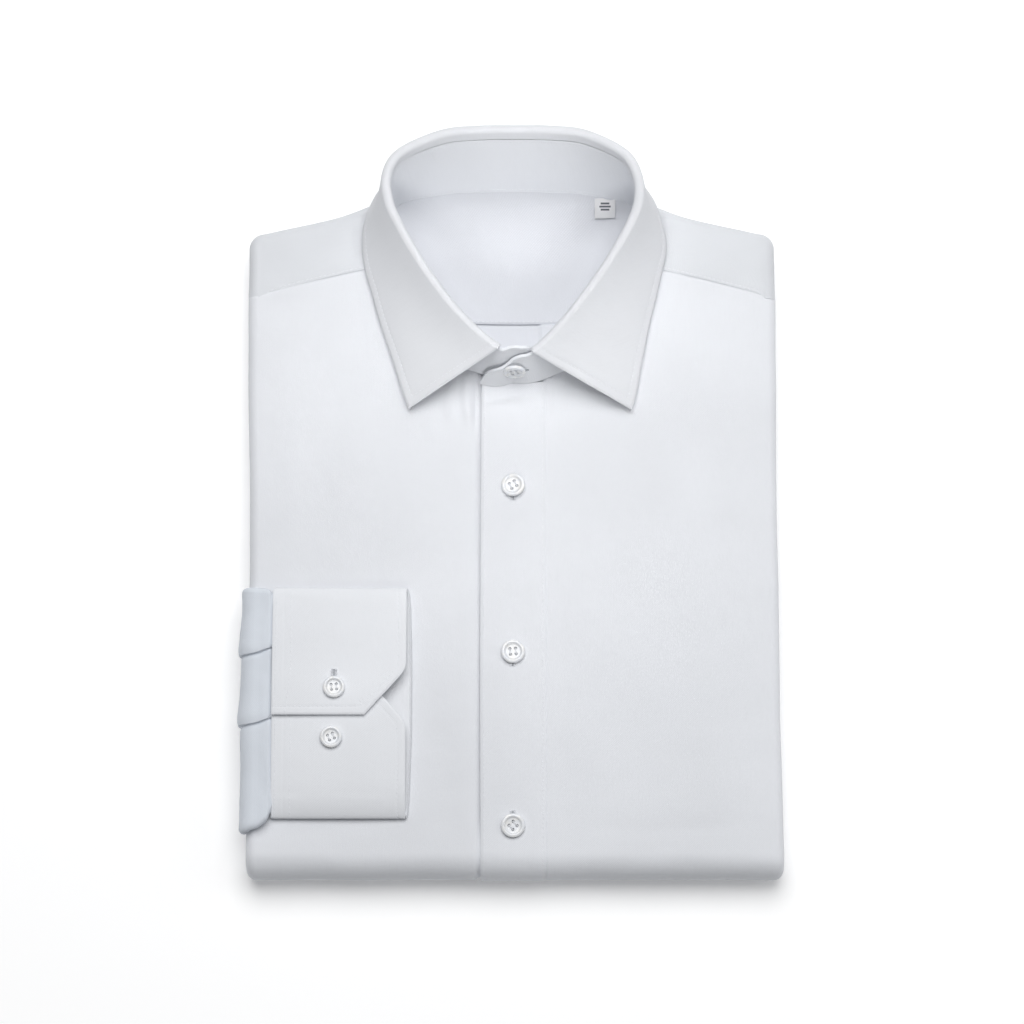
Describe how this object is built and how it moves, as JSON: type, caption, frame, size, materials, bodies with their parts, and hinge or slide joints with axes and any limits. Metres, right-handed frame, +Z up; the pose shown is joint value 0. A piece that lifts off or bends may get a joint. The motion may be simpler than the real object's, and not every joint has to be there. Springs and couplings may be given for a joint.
{
  "type": "folded dress shirt",
  "caption": "Long-sleeved dress shirt folded flat into a rectangle, collar buttoned and standing, one cuff laid on the front.",
  "frame": {"origin": "on the surface it lies on, under the middle of the folded shirt", "axes": "+X to the wearer's left, which is the right side as seen from above; +Y from the bottom fold to the collar; +Z up out of the front"},
  "size_m": [0.271, 0.3794, 0.059],
  "materials": {
    "shirting": "fine white cotton twill, matte",
    "collar_cloth": "white cotton over interlining, smooth and matte",
    "inner_cloth": "white cotton seen inside the collar, matte",
    "button_shell": "pearl white shirt button, glossy",
    "tab_satin": "white woven satin tab"
  },
  "bodies": {
    "root": {"hidden_layers": "inner_cloth", "front_right": "shirting", "front_left": "shirting", "front_placket": "shirting", "yoke": "shirting", "inner_yoke": "inner_cloth", "back": "inner_cloth", "collar_band": "collar_cloth", "collar_leaf": "collar_cloth", "sleeve_right": "shirting", "cuff_right": "collar_cloth", "size_tab": "tab_satin", "front_button_1": "button_shell", "front_button_2": "button_shell", "front_button_3": "button_shell", "cuff_button_1": "button_shell", "cuff_button_2": "button_shell", "collar_button": "button_shell"}
  },
  "joints": []
}
